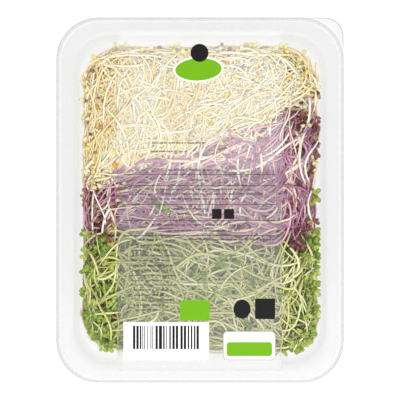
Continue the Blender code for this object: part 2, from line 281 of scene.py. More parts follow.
# The strip's two parts, from its lower end to its upper end
LABEL_DENSITY = ((0.045, grey(0.20)), (0.075, grey(0.18)), (0.585, grey(0.18)), (0.605, grey(0.085)),
                 (0.93, grey(0.085)), (0.955, grey(0.14)))
MILKY = (0.25, 0.245, 0.26)
WARM_WHITE = (0.92, 0.90, 0.86)
LABEL_COLOUR = ((0.03, grey(0.72)), (0.07, MILKY), (0.585, MILKY), (0.605, WARM_WHITE),
                (0.93, WARM_WHITE), (0.955, grey(0.86)))


def label_material():
    """The strip: faintly whitened at its upper part and milky below, the two meeting softly."""
    made = Surface("label_strip_satin")
    height = made.spread(made.along("Y"), -LABEL_Y / 2, LABEL_Y / 2, 0.0, 1.0)
    mottle = made.ramp(made.noise(500.0), ((0.3, grey(0.93)), (0.7, WHITE)))
    made.bump(made.noise(60.0, 1.0), 0.06, 0.001)
    return made.finish({
        "Base Color": made.mix(1.0, made.ramp(height, LABEL_COLOUR), mottle, "MULTIPLY"),
        "Alpha": made.ramp(height, LABEL_DENSITY),
        "Roughness": 0.35,
    })


# Meshes

def add_mesh(name, points, faces, surface, attributes=None, smooth=True):
    """A mesh piece. faces is an array of quads or triangles, and attributes are floats by point."""
    points = np.asarray(points, np.float32)
    faces = np.asarray(faces, np.int32)
    mesh = bpy.data.meshes.new(name)
    mesh.vertices.add(len(points))
    mesh.vertices.foreach_set("co", points.ravel())
    corners = faces.shape[1]
    mesh.loops.add(faces.size)
    mesh.loops.foreach_set("vertex_index", faces.ravel())
    mesh.polygons.add(len(faces))
    mesh.polygons.foreach_set("loop_start", np.arange(0, faces.size, corners, dtype=np.int32))
    mesh.update(calc_edges=True)
    mesh.polygons.foreach_set("use_smooth", np.full(len(faces), smooth))
    for key, values in (attributes or {}).items():
        layer = mesh.attributes.new(key, "FLOAT", "POINT")
        layer.data.foreach_set("value", np.asarray(values, np.float32))
    mesh.validate()
    mesh.materials.append(surface)
    piece = bpy.data.objects.new(name, mesh)
    bpy.context.scene.collection.objects.link(piece)
    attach(piece, ROOT)
    return piece


def lets_light_through(piece):
    """A thin film scatters the light on to what lies under it, so it doesn't shade it."""
    piece.visible_shadow = False
    piece.visible_diffuse = False


def corner_radius(inset):
    return RIM_CORNER - CORNER_TIGHTENING * inset


def rounded_loop(half_x, half_y, z, corners):
    """A rounded rectangle. corners are four radii, from +X +Y anticlockwise."""
    points = []
    for quadrant, radius in enumerate(corners):
        sign_x = (1, -1, -1, 1)[quadrant]
        sign_y = (1, 1, -1, -1)[quadrant]
        for step in range(CORNER_STEPS + 1):
            angle = math.pi / 2 * (quadrant + step / CORNER_STEPS)
            x = sign_x * (half_x - radius) + radius * math.cos(angle)
            y = sign_y * (half_y - radius) + radius * math.sin(angle)
            points.append((x, y, z))
    return points


def rim_loop(inset, z):
    return rounded_loop(RIM_X / 2 - inset, RIM_Y / 2 - inset, z, (corner_radius(inset),) * 4)


def skin_faces(rows, count):
    """Quads over rows of rings, each ring with count points."""
    row = np.arange(rows - 1)[:, None] * count
    column = np.arange(count)[None, :]
    after = (column + 1) % count
    quads = (row + column, row + after, row + count + after, row + count + column)
    return np.stack(np.broadcast_arrays(*quads), axis=-1).reshape(-1, 4)


def halved(quads):
    return np.concatenate([quads[:, (0, 1, 2)], quads[:, (0, 2, 3)]])


def grid_quads(grid):
    """Quads over a grid of point numbers."""
    corners = (grid[:-1, :-1], grid[:-1, 1:], grid[1:, 1:], grid[1:, :-1])
    return np.stack(corners, axis=-1).reshape(-1, 4)


def border(grid):
    """The numbers round the outside of a grid, or of each of several."""
    sides = (grid[..., 0, :-1], grid[..., :-1, -1], grid[..., -1, :0:-1], grid[..., :0:-1, 0])
    return np.concatenate(sides, axis=-1)


def soften(profile, rounds=2):
    """Rounds the bends of a profile by cutting its corners."""
    for _ in range(rounds):
        cut = [profile[0]]
        for (a, b), (c, d) in zip(profile, profile[1:]):
            cut.append((0.75 * a + 0.25 * c, 0.75 * b + 0.25 * d))
            cut.append((0.25 * a + 0.75 * c, 0.25 * b + 0.75 * d))
        cut.append(profile[-1])
        profile = cut
    return profile


def fan(ring, centre):
    """Triangles from a ring of point numbers to a centre."""
    return [(a, b, centre) for a, b in zip(ring, ring[1:] + ring[:1])]


def capped(loops, first, last):
    """Points and triangles of a skin over loops, with a middle point to close each end."""
    count = len(loops[0])
    points = np.array([p for loop in loops for p in loop] + [first, last])
    ring = list(range(count))
    end = list(range((len(loops) - 1) * count, len(loops) * count))
    caps = fan(ring[::-1], len(points) - 2) + fan(end, len(points) - 1)
    return points, np.concatenate([halved(skin_faces(len(loops), count)), np.array(caps)])


# How dense the formed sheet looks, by inset: full in the flange, denser in its lip, thin where drawn down
SHEET_BY_INSET = ((0.0, 0.0012, 0.0022, 0.0078, 0.0092, 0.0120), (1.7, 1.3, 1.0, 1.0, 0.75, 0.45))


def build_tray():
    """One formed sheet with soft bends: floor panel, foot ring, wall with a ledge, flange and lip."""
    upper = soften([
        (0.0400, FLOOR_PANEL + SHEET),
        (0.0270, FLOOR_PANEL + SHEET),
        (0.0250, SHEET),
        (0.0150, SHEET),
        (WALL_FOOT_INSET, WALL_FOOT_Z),
        (LEDGE_INSET, LEDGE_Z),
        (UPPER_WALL_INSET, LEDGE_Z + SHEET),
        (WALL_TOP_INSET, TRAY_HEIGHT - 0.0010),
        (0.0084, TRAY_HEIGHT),
        (0.0012, TRAY_HEIGHT),
        (0.0003, TRAY_HEIGHT - 0.0006),
        (0.0, TRAY_HEIGHT - 0.0032),
    ])
    under = soften([
        (0.0007, TRAY_HEIGHT - 0.0032),
        (0.0012, TRAY_HEIGHT - 0.0012),
        (0.0019, TRAY_HEIGHT - SHEET),
        (0.0077, TRAY_HEIGHT - SHEET),
        (WALL_TOP_INSET - SHEET, TRAY_HEIGHT - 0.0015),
        (UPPER_WALL_INSET - SHEET, LEDGE_Z),
        (LEDGE_INSET - SHEET, LEDGE_Z - 0.0006),
        (WALL_FOOT_INSET - SHEET, WALL_FOOT_Z - 0.0004),
        (0.0146, 0.0),
        (0.0254, 0.0),
        (0.0274, FLOOR_PANEL),
        (0.0400, FLOOR_PANEL),
    ])
    profile = upper + under
    loops = [rim_loop(inset, z) for inset, z in profile]
    points, faces = capped(loops, (0.0, 0.0, FLOOR_PANEL + SHEET), (0.0, 0.0, FLOOR_PANEL))
    sheet = np.interp([inset for inset, _ in profile], *SHEET_BY_INSET)
    sheet = np.concatenate([np.repeat(sheet, len(loops[0])), [SHEET_BY_INSET[1][-1]] * 2])
    surface = clear_material("tray_clear_plastic", (0.42, 0.425, 0.43), 0.154, 0.20, 0.14, 0.02, 0.0,
                             sheet_density)
    piece = add_mesh("clear_tray", points, faces, surface, {"sheet": sheet})
    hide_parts("tray")


def build_film():
    """The sealed film: a flat sheet with a faint ripple, and a narrow whitened line along its seal."""
    corners = (PEEL_CORNER,) + (corner_radius(FILM_INSET),) * 3
    insets = (0.06, 0.03, 0.012, 0.0004)
    profile = [(inset, FILM_SHEET) for inset in insets] + [(0.0, FILM_SHEET / 2)]
    profile += [(inset, 0.0) for inset in insets[::-1]]
    loops = []
    for inset, z in profile:
        radii = tuple(max(r - CORNER_TIGHTENING * inset, 0.002) for r in corners)
        half_x = RIM_X / 2 - FILM_INSET - inset
        half_y = RIM_Y / 2 - FILM_INSET - inset
        loops.append(rounded_loop(half_x, half_y, FILM_LOW + z, radii))
    points, faces = capped(loops, (0.0, 0.0, FILM_LOW + FILM_SHEET), (0.0, 0.0, FILM_LOW))
    surface = clear_material("film_clear_plastic", (0.20, 0.20, 0.205), 0.018, 0.22, 0.08, 0.008, 0.05,
                             peel_density)
    piece = add_mesh("clear_film", points, faces, surface)
    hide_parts("lidding_film")
    lets_light_through(piece)
    seal = [rim_loop(inset, FILM_LOW + z)
            for inset, z in ((0.0017, 0.0004), (0.0019, 0.00055), (0.0022, 0.00055), (0.0024, 0.0004))]
    points = [p for loop in seal for p in loop]
    white = print_material("seal_line_whitened", grey(0.93), 0.30, 0.3)
    add_mesh("seal_line", points, skin_faces(len(seal), len(seal[0])), white)


def add_print(name, points, faces, surface):
    lets_light_through(add_mesh(name, points, faces, surface, smooth=False))


def flat_piece(name, loop, heights, surface):
    """A thin flat piece with rounded upper edges, from its outline at z = 0."""
    low, high = heights
    loop = np.asarray(loop)
    count = len(loop)
    middle = loop.mean(axis=0)
    way = loop - middle
    length = np.linalg.norm(way, axis=1, keepdims=True)
    rows = []
    for shrink, z in ((0.0, low), (0.0, high - 0.00001), (0.00006, high)):
        row = loop - way / length * shrink
        row[:, 2] = z
        rows.append(row)
    points = np.concatenate(rows + [[(middle[0], middle[1], high)], [(middle[0], middle[1], low)]])
    caps = fan(list(range(2 * count, 3 * count)), 3 * count)
    caps += fan(list(range(count))[::-1], 3 * count + 1)
    add_print(name, points, np.concatenate([halved(skin_faces(3, count)), np.array(caps)]), surface)


def pixel_box(left, top, right, bottom, radius=0.4):
    """The outline of a rounded block between pixels of the photograph."""
    x0, y0 = spot(left, bottom)
    x1, y1 = spot(right, top)
    loop = np.array(rounded_loop((x1 - x0) / 2, (y1 - y0) / 2, 0.0, (radius * PIXEL,) * 4))
    return loop + ((x0 + x1) / 2, (y0 + y1) / 2, 0.0)


def ellipse(px, py, wide, high, turn, steps=48):
    """The outline of an ellipse round a pixel of the photograph, its axes in pixels."""
    x, y = spot(px, py)
    points = []
    for step in range(steps):
        angle = 2 * math.pi * step / steps
        a = wide / 2 * PIXEL * math.cos(angle)
        b = high / 2 * PIXEL * math.sin(angle)
        at_x = x + a * math.cos(turn) - b * math.sin(turn)
        at_y = y + a * math.sin(turn) + b * math.cos(turn)
        points.append((at_x, at_y, 0))
    return points


BOX_FACES = ((3, 2, 1, 0), (4, 5, 6, 7), (0, 1, 5, 4), (1, 2, 6, 5), (2, 3, 7, 6), (3, 0, 4, 7))


def bars_piece(name, boxes, heights, surface):
    """Many small thin boxes, each given as pixels (left, top, right, bottom), as one piece."""
    points = []
    faces = []
    for left, top, right, bottom in boxes:
        x0, y0 = spot(left, bottom)
        x1, y1 = spot(right, top)
        faces += [[len(points) + k for k in quad] for quad in BOX_FACES]
        for z in heights:
            points += [(x0, y0, z), (x1, y0, z), (x1, y1, z), (x0, y1, z)]
    add_print(name, points, faces, surface)


# The strip's top, and the heights between which three layers of print lie on it
LABEL_TOP = LABEL_LOW + LABEL_SHEET
PRINT_1 = (LABEL_TOP + 0.00001, LABEL_TOP + 0.00004)
PRINT_2 = (LABEL_TOP + 0.00005, LABEL_TOP + 0.00008)
PRINT_3 = (LABEL_TOP + 0.00009, LABEL_TOP + 0.00012)

# Rows of small print: left, right and height of each in pixels
SMALL_PRINT = (
    (150, 205, 143), (150, 186, 151.5), (168, 232, 170), (190, 208, 180),
    (128, 250, 189.5), (128, 262, 194), (150, 240, 199), (166, 208, 209), (166, 206, 214.5),
    (150, 250, 225), (165, 240, 230.5), (185, 275, 239.5),
    (129, 176, 240), (129, 172, 245), (130, 168, 250), (131, 175, 255.5), (130, 170, 260.5),
    (129, 174, 265.5), (131, 172, 270.5), (129, 176, 275.5), (130, 165, 280.5), (133, 172, 290),
    (133, 168, 295), (134, 174, 300), (133, 165, 305), (135, 172, 310),
)


def build_strip():
    """The strip as a thin satin sheet with a faint wave."""
    columns, rows = 24, 48
    skin = 0.00004
    x = np.linspace(-LABEL_X / 2, LABEL_X / 2, columns + 1)
    y = np.linspace(-LABEL_Y / 2, LABEL_Y / 2, rows + 1)
    gx, gy = np.meshgrid(x, y)
    wave = 0.00003 * np.sin(gx * 210 + 1.1 * np.sin(gy * 90)) * np.sin(gy * 130)
    points = np.concatenate([np.stack([gx, gy, level + wave], axis=-1).reshape(-1, 3)
                             for level in (LABEL_TOP - skin, LABEL_LOW + skin)])
    below = gx.size
    number = np.arange(below).reshape(gx.shape)
    quads = grid_quads(number)
    edge = border(number)
    after = np.roll(edge, -1)
    sides = np.stack([after, edge, edge + below, after + below], axis=-1)
    faces = np.concatenate([quads, quads[:, ::-1] + below, sides])
    piece = add_mesh("label_sheet", points, faces, label_material())
    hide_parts("label_strip")
    lets_light_through(piece)


def dashes(draw):
    """Dashes of random lengths in the rows of small print."""
    made = []
    for left, right, y in SMALL_PRINT:
        at = left + draw.uniform(0, 2)
        while at < right:
            length = min(draw.uniform(1.5, 7.0), right - at)
            made.append((at, y - 0.8, at + length, y + 0.8))
            at += length + 1.2
    return made


def bars(draw):
    """Upright bars of random widths and gaps."""
    made = []
    at = 133.0
    while at < 199.5:
        thick = draw.choice((0.9, 1.6, 2.4, 3.2), p=(0.25, 0.3, 0.3, 0.15))
        made.append((at, 325.6, min(at + thick, 200.0), 349))
        at += thick + draw.choice((1.0, 1.5, 2.2), p=(0.3, 0.4, 0.3))
    return made


def build_label(draw):
    """The strip and its plain printed marks."""
    build_strip()
    dark = print_material("ink_dark", (0.009, 0.008, 0.008))
    faint = print_material("ink_small", (0.06, 0.05, 0.05), 0.62)
    tiny = print_material("ink_dashes", (0.05, 0.045, 0.05), 0.38)
    white = print_material("ink_white", (0.93, 0.93, 0.92))
    green = print_material("ink_green", (0.155, 0.41, 0.006))
    edge = print_material("ink_edge", grey(0.45))
    rules = [(123.6, y, 275, y + 0.75) for y in (174.1, 185.2, 204.1, 220.1, 235.2)]
    rules.append((129.7, 284.6, 177, 285.3))
    bars_piece("ruled_lines", rules, PRINT_1, faint)
    bars_piece("small_print_dashes", dashes(draw), PRINT_1, tiny)
    flat_piece("white_block", pixel_box(123.6, 322, 209, 359.8), PRINT_1, white)
    bars_piece("plain_bars", bars(draw), PRINT_2, dark)
    for name, outline, heights, surface in (
            ("green_block", pixel_box(180, 300, 209.7, 320.3), PRINT_1, green),
            ("dark_block", pixel_box(255, 298.5, 275, 319, 1.0), PRINT_1, dark),
            ("dark_disc", ellipse(242, 309, 17, 19, 0.0), PRINT_1, dark),
            ("dark_tile_left", pixel_box(212, 209, 221.6, 219, 1.0), PRINT_1, dark),
            ("dark_tile_right", pixel_box(224, 209, 234, 219, 1.0), PRINT_1, dark),
            ("pale_plate_edge", pixel_box(223, 331.2, 275.5, 360, 4.5), PRINT_1, edge),
            ("pale_plate", pixel_box(223.9, 332, 274.6, 359.2, 4.0), PRINT_2, white),
            ("pale_plate_bar", pixel_box(226.5, 342, 272, 356, 3.0), PRINT_3, green),
            ("oval_edge", ellipse(198.5, 69.5, 50, 26, 0.05), PRINT_1, white),
            ("oval_green", ellipse(198.5, 69.5, 46.5, 22.5, 0.05), PRINT_2, green),
            ("disc_dark", ellipse(199.5, 53, 18, 18, 0.0), PRINT_3, dark)):
        flat_piece(name, outline, heights, surface)


# Sprouts

def wall_half(side, z):
    low_part = side / 2 - WALL_FOOT_INSET + np.clip((z - WALL_FOOT_Z) / (LEDGE_Z - WALL_FOOT_Z), 0, 1) * (
        WALL_FOOT_INSET - LEDGE_INSET)
    return np.where(z < LEDGE_Z, low_part, side / 2 - UPPER_WALL_INSET)


def wall_y(x, z, margin):
    """The largest y that keeps a margin to the wall at this x, round the corner too."""
    half_x = wall_half(RIM_X, z) - margin - SIDE_GAP
    half_y = wall_half(RIM_Y, z) - margin - END_GAP
    radius = BED_CORNER - margin
    past = np.maximum(0.0, np.minimum(np.abs(x), half_x) - (half_x - radius))
    return half_y - radius + np.sqrt(np.maximum(0.0, radius * radius - past * past))


def cream_edge(x):
    return CREAM_EDGE_MIDDLE + CREAM_EDGE_SLOPE * x + 0.0016 * np.sin(x / 0.0055)


def green_edge(x):
    wave = GREEN_EDGE_WAVE * np.sin(x / GREEN_EDGE_PERIOD)
    return GREEN_EDGE_MIDDLE - wave + 0.0014 * np.sin(x / 0.0047 + 1.0)


class Zone:
    """The part of the tray that one bunch fills. An edge is a function of x, or None at the wall."""

    def __init__(self, slot, low_edge, high_edge):
        self.slot = slot
        self.low_edge = low_edge
        self.high_edge = high_edge

    def low(self, x, z, margin):
        return self.low_edge(x) + 0 * z if self.low_edge else -wall_y(x, z, margin)

    def high(self, x, z, margin):
        return self.high_edge(x) + 0 * z if self.high_edge else wall_y(x, z, margin)


CREAM = Zone("cream_sprouts", cream_edge, None)
PURPLE = Zone("purple_sprouts", green_edge, cream_edge)
GREEN = Zone("green_sprouts", None, green_edge)


def at_height(flat, z):
    """Level places with their height as a third number."""
    return np.concatenate([flat, z[..., None]], axis=-1)


def hollows(along):
    """How far stems stay off the wall, which changes along it, so that the outline isn't even."""
    return 0.0008 * (1 + np.sin(along * 420 + 2 * np.sin(along * 150)))


def keep_inside(paths, zone, margin, stray, uneven=1):
    """Points moved to stay off the walls, the floor and the film. stray lets them pass a border."""
    z = np.clip(paths[..., 2], BED_FLOOR + 0.0005, BED_TOP + 0.0008)
    side_margin = margin + uneven * hollows(paths[..., 1] + 0.013 * np.sign(paths[..., 0]))
    limit = wall_half(RIM_X, z) - side_margin - SIDE_GAP
    x = np.clip(paths[..., 0], -limit, limit)
    end_margin = margin + uneven * hollows(x + 0.021 * np.sign(paths[..., 1]))
    low = zone.low(x, z, end_margin) - (stray if zone.low_edge else 0)
    high = zone.high(x, z, end_margin) + (stray if zone.high_edge else 0)
    wall = wall_y(x, z, end_margin)
    y = np.clip(paths[..., 1], np.maximum(low, -wall), np.minimum(high, wall))
    return np.stack([x, y, z], axis=-1)


def moved_inside(points, each, zone):
    """Whole leaves or seed coats moved off the walls. each is how many points one has."""
    shapes = points.reshape(-1, each, 3)
    off = keep_inside(shapes, zone, 0.0004, 0.004, uneven=0) - shapes
    furthest = np.abs(off).argmax(axis=1)
    shift = np.take_along_axis(off, furthest[:, None, :], axis=1)
    return (shapes + shift).reshape(-1, 3)


def scatter(draw, zone, count, margin=0.001, ends=0.0):
    """Random places in the bunch's outline. ends, from 0 to 1, brings more of them to its ends in x."""
    half = wall_half(RIM_X, UPPER_Z) - margin
    across = draw.uniform(-1, 1, count * 3)
    across = np.sign(across) * np.abs(across) ** (1 - ends)
    x = half * across
    low = zone.low(x, UPPER_Z, margin)
    high = zone.high(x, UPPER_Z, margin)
    span = high - low
    keep = draw.uniform(0, 1, x.shape) * span.max() < span
    x, low, high = x[keep][:count], low[keep][:count], high[keep][:count]
    y = low + (high - low) * draw.uniform(0, 1, x.shape)
    return np.stack([x, y], axis=-1)


def drift(flat):
    """A slow change of heading over the tray, which lays neighbouring stems in bundles."""
    x, y = flat[..., 0], flat[..., 1]
    across = 0.38 * np.sin(x * 170 + 2.0 * np.sin(y * 95))
    return across + 0.30 * np.sin(y * 210 + 1.7 * np.sin(x * 120 + 1.0))


def flat_curves(draw, middles, headings, lengths, turn, wave, count, flow=None):
    """Level curves of count points through their middles: each bends, waves, and follows flow."""
    n = len(middles)
    t = np.linspace(-0.5, 0.5, count)[None, :]
    bend = draw.normal(0, turn, (n, 1))
    swing = draw.normal(0, wave, (n, 1))
    beat = draw.uniform(0.7, 1.6, (n, 1))
    phase = draw.uniform(0, 2 * math.pi, (n, 1))
    own = headings[:, None] + bend * t * 2 + swing * np.sin(2 * math.pi * beat * t + phase)
    aside = draw.normal(0, 0.006, (n, 2))
    step = lengths[:, None] / (count - 1)
    half = count // 2
    path = np.zeros((n, count, 2))
    path[:, half] = middles
    for way, last in ((1, count - 1), (-1, 0)):
        for k in range(half, last, way):
            angle = own[:, k] + (flow(path[:, k]) + drift(path[:, k] + aside) if flow else 0)
            path[:, k + way] = path[:, k] + way * step * np.stack([np.cos(angle), np.sin(angle)], axis=-1)
    return path


def eased(paths, rounds=3):
    """Paths without the kinks that walls and borders give them."""
    for _ in range(rounds):
        inner = 0.25 * paths[:, :-2] + 0.5 * paths[:, 1:-1] + 0.25 * paths[:, 2:]
        paths = np.concatenate([paths[:, :1], inner, paths[:, -1:]], axis=1)
    return paths


def tubes(paths, radii):
    """Points and quads of tubes along (n, count, 3) paths, pointed at both ends."""
    n, count = paths.shape[:2]
    ahead = np.gradient(paths, axis=1)
    ahead /= np.maximum(np.linalg.norm(ahead, axis=2, keepdims=True), 1e-9)
    side = np.cross(ahead[:, 0], np.where(np.abs(ahead[:, 0, 2:]) > 0.7, (1.0, 0, 0), (0, 0, 1.0)))
    rings = []
    angles = 2 * math.pi * np.arange(TUBE_SIDES) / TUBE_SIDES
    cosines = np.cos(angles)[None, :, None]
    sines = np.sin(angles)[None, :, None]
    for k in range(count):
        side = side - ahead[:, k] * (side * ahead[:, k]).sum(axis=1, keepdims=True)
        side /= np.maximum(np.linalg.norm(side, axis=1, keepdims=True), 1e-9)
        other = np.cross(ahead[:, k], side)
        spread = cosines * side[:, None] + sines * other[:, None]
        rings.append(paths[:, k, None] + spread * radii[:, k, None, None])
    points = np.stack(rings, axis=1).reshape(-1, 3)
    faces = skin_faces(count, TUBE_SIDES)[None] + (np.arange(n) * count * TUBE_SIDES)[:, None, None]
    return points, faces.reshape(-1, 4)


def taper(n, count, draw, radius):
    """A radius for each point of each stem: thin at its ends, and a little uneven."""
    t = np.linspace(0, 1, count)[None, :]
    ends = np.clip(np.minimum(t, 1 - t) * 9, 0.25, 1.0)
    each = radius * draw.uniform(1 - UNEVEN, 1 + UNEVEN, (n, 1))
    beat = t * draw.uniform(0.5, 1.5, (n, 1)) + draw.uniform(0, 1, (n, 1))
    return each * ends * (1 + 0.12 * np.sin(2 * math.pi * beat))


def painted_side_light(part, paler, deeper):
    """Painted light from one side: stems whose tint grows by paler, and the painted gap shade by deeper,
    for each metre along +X.
    """
    paths, radii, tint, painted_shade = part
    tint = np.clip(tint + paler * paths[:, 0, 0], 0, 1)
    return paths, radii, tint, painted_shade * np.clip(1 + deeper * paths[..., 0], 0.4, 1.4)


def add_joined(name, groups, surface):
    """One piece from groups of (points, faces, tint by point, painted shade by point)."""
    points, faces, tints, painted_shades = zip(*groups)
    starts = np.cumsum([0] + [len(own) for own in points])
    faces = np.concatenate([own + start for own, start in zip(faces, starts)])
    shades = {"tint": np.concatenate(tints), "painted_shade": np.concatenate(painted_shades)}
    return add_mesh(name, np.concatenate(points), faces, surface, shades)


def stems(name, parts, surface):
    """Joins groups of stem paths, each (paths, radii, tint, painted shade), into one piece."""
    groups = []
    for paths, radii, tint, painted_shade in parts:
        tint = np.repeat(tint, paths.shape[1] * TUBE_SIDES)
        groups.append((*tubes(paths, radii), tint, np.repeat(painted_shade.reshape(-1), TUBE_SIDES)))
    return add_joined(name, groups, surface)


def freest(flat, zone, count):
    """The level curves that the walls and borders would bend the least."""
    places = at_height(flat, np.full(flat.shape[:2], UPPER_Z))
    pushed = np.linalg.norm(keep_inside(places, zone, 0.0015, 0.004) - places, axis=2).mean(axis=1)
    return flat[np.sort(np.argsort(pushed)[:count])]


def top_stems(draw, zone, count, heading, spread, lengths, turn, wave, deepest, radius, stray,
              middles=None, shallowest=0.0, gap_shades=()):
    """Stems that lie on each other at the bunch's top, from shallowest to deepest under it."""
    chosen = middles is None
    if chosen:
        middles = scatter(draw, zone, int(count * DRAWN_FOR_ONE))
    n = len(middles)
    flow = heading if callable(heading) else None
    loose = draw.choice((0.5, 1.5), n, p=(0.55, 0.45))
    headings = draw.normal(0, spread, n) * loose + (0 if flow else heading)
    flat = flat_curves(draw, middles, headings, draw.uniform(*lengths, n), turn, wave, TOP_POINTS, flow)
    if chosen:
        flat = freest(flat, zone, count)
        n = len(flat)
    share = draw.uniform(0, 1, (n, 1))
    t = np.linspace(-1, 1, TOP_POINTS)[None, :]
    sink = shallowest + (deepest - shallowest) * share
    sway = 0.0009 * np.sin(math.pi * (t * draw.uniform(0.6, 2.0, (n, 1)) + draw.uniform(0, 2, (n, 1))))
    dive = draw.uniform(0, 0.007, (n, 1)) * np.abs(t) ** 3
    z = BED_TOP - sink + sway - dive
    margin = 0.0005 + 0.0050 * draw.uniform(0, 1, (n, 1)) ** 2
    passing = np.abs(draw.normal(0, stray, (n, 1)))
    near_edge = edge_drop(flat)
    paths = eased(keep_inside(at_height(flat, z - near_edge), zone, margin, passing))
    # Painted shade: the lower a stem lies under the bed's top, the more of the shade colour it gets, a
    # little less where the bed sinks near the walls.
    painted_shade = np.clip((BED_TOP - 0.002 - paths[..., 2] - near_edge * 0.5) / 0.010, 0, 1)
    painted_shade = painted_shade * gap_shade(paths, *gap_shades)
    return paths, taper(n, TOP_POINTS, draw, radius), draw.uniform(0, 1, n), painted_shade


def wall_room(flat):
    """How far places are from the nearest wall."""
    room_x = wall_half(RIM_X, UPPER_Z) - np.abs(flat[..., 0])
    room_y = wall_y(flat[..., 0], UPPER_Z, 0.0) - np.abs(flat[..., 1])
    return np.minimum(room_x, room_y)


def edge_drop(flat, drop=EDGE_DROP):
    """How far the bed's top is lower near the walls."""
    return drop * np.clip(1 - wall_room(flat) / EDGE_WIDTH, 0, 1) ** 2


def gap_shade(flat, middle=0.55, beside=1.0):
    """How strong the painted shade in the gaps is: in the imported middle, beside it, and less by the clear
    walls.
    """
    share = np.clip((np.abs(flat[..., 0]) - PACKED_HALF) / PACKED_BLEND, 0, 1)
    by_wall = np.clip(1 - (wall_room(flat) - 0.002) / 0.007, 0, 1)
    return (middle + (beside - middle) * share) * (1 - 0.8 * by_wall)


def side_stems(draw, zone, count):
    """Stems that lie against the walls, from places on them with the way outwards."""
    middles = []
    while len(middles) < count:
        way = draw.choice(4, p=(0.17, 0.17, 0.33, 0.33))
        sign = 1 if way in (1, 2) else -1
        if way < 2:
            x = sign * wall_half(RIM_X, MIDDLE_Z)
            low = float(zone.low(x, MIDDLE_Z, 0.002))
            high = float(zone.high(x, MIDDLE_Z, 0.002))
            middles.append((x, draw.uniform(low, high), draw.uniform(*WALL_HEIGHTS), sign, 0))
        elif not (zone.high_edge if way == 2 else zone.low_edge):
            x = draw.uniform(-END_WALL_HALF, END_WALL_HALF)
            y = sign * float(wall_y(x, MIDDLE_Z, 0.001))
            middles.append((x, y, draw.uniform(*WALL_HEIGHTS), 0, sign))
    middles = np.array(middles)
    n = len(middles)
    inward = draw.uniform(0.0005, 0.0055, n)
    ux = -middles[:, 3:5]
    along = np.stack([-ux[:, 1], ux[:, 0]], axis=1)
    headings = draw.normal(0, 0.9, n) + draw.choice((0, math.pi), n)
    lengths = draw.uniform(0.018, 0.045, n)
    curves = flat_curves(draw, np.zeros((n, 2)), headings, lengths, 0.9, 0.35, LOW_POINTS)
    xy = middles[:, None, :2] + ux[:, None] * inward[:, None, None] + along[:, None] * curves[..., :1]
    paths = at_height(xy, middles[:, None, 2] + curves[..., 1] * 0.8)
    t = np.linspace(-1, 1, LOW_POINTS)[None, :, None]
    paths[..., :2] += ux[:, None] * (0.006 * np.abs(t) ** 3) * draw.uniform(0, 1, (n, 1, 1))
    passing = np.abs(draw.normal(0, 0.006, (n, 1)))
    paths = eased(keep_inside(paths, zone, draw.uniform(0.0003, 0.0018, (n, 1)), passing))
    # Painted shade: stems further in from the clear wall get more of the shade colour.
    painted_shade = 0.7 * np.clip(inward / 0.008, 0, 1)[:, None] + 0 * paths[..., 0]
    return paths, taper(n, LOW_POINTS, draw, SIDE_RADIUS), draw.uniform(0, 1, n), painted_shade


def floor_stems(draw, zone, count):
    """Stems that lie on the tray's floor."""
    middles = scatter(draw, zone, count, 0.004)
    n = len(middles)
    headings = draw.uniform(0, math.pi, n)
    flat = flat_curves(draw, middles, headings, draw.uniform(0.02, 0.05, n), 1.0, 0.4, LOW_POINTS)
    z = draw.uniform(BED_FLOOR + 0.0006, BED_FLOOR + 0.0060, (n, 1)) + 0 * flat[..., 0]
    passing = np.abs(draw.normal(0, 0.003, (n, 1)))
    paths = eased(keep_inside(at_height(flat, z), zone, 0.0012, passing))
    # Painted shade: the higher a floor stem lies above the floor, the more of the shade colour it gets.
    painted_shade = np.clip((z - BED_FLOOR - 0.001) / 0.008, 0, 1)
    return paths, taper(n, LOW_POINTS, draw, FLOOR_RADIUS), draw.uniform(0, 1, n), painted_shade


def lower_stems(name, draw, zone, at_sides, on_floor, surface):
    stems(name, [side_stems(draw, zone, at_sides), floor_stems(draw, zone, on_floor)], surface)


def leaf_shape(dome, fold, notch, wide, steps=20):
    """A seed leaf of length 1 along +X: two lobes with a notch between, on a narrow foot."""
    outline = []
    for k in range(steps):
        angle = 2 * math.pi * k / steps
        off_tip = min(angle, 2 * math.pi - angle)
        reach = 0.45 + 0.14 * math.cos(2 * (off_tip - 0.85)) - notch * math.exp(-((off_tip / 0.36) ** 2))
        outline.append((0.5 + reach * math.cos(angle), wide * reach * math.sin(angle), 0.0))
    outline = np.array(outline)
    middle = np.array((0.52, 0.0, 0.0))
    inner = middle + (outline - middle) * 0.55
    ring = np.concatenate([outline, inner, [middle]])
    ring[:, 2] = -dome * ((ring[:, 0] - 0.35) ** 2 + ring[:, 1] ** 2) + fold * np.abs(ring[:, 1])
    outline, inner, middle = ring[:steps], ring[steps:2 * steps], ring[-1]
    points = np.concatenate([outline, inner + (0, 0, 0.03), inner - (0, 0, 0.02),
                             [middle + (0, 0, 0.02)], [middle - (0, 0, 0.02)]])
    triangles = []
    for k in range(steps):
        j = (k + 1) % steps
        triangles += [(k, j, steps + j), (k, steps + j, steps + k), (steps + k, steps + j, 3 * steps)]
        triangles += [(j, k, 2 * steps + k), (j, 2 * steps + k, 2 * steps + j)]
        triangles.append((2 * steps + j, 2 * steps + k, 3 * steps + 1))
    return points, np.array(triangles)


# Kidney-shaped leaves for the purple and green bunches, and plain oval ones for the cream bunch
NOTCHED_LEAVES = (leaf_shape(0.30, 0.0, 0.24, 1.25), leaf_shape(0.15, 0.35, 0.22, 1.20),
                  leaf_shape(0.60, 0.10, 0.24, 1.25), leaf_shape(0.10, -0.25, 0.20, 1.15))
OVAL_LEAVES = (leaf_shape(0.30, 0.15, 0.0, 0.52), leaf_shape(0.15, 0.30, 0.04, 0.60))


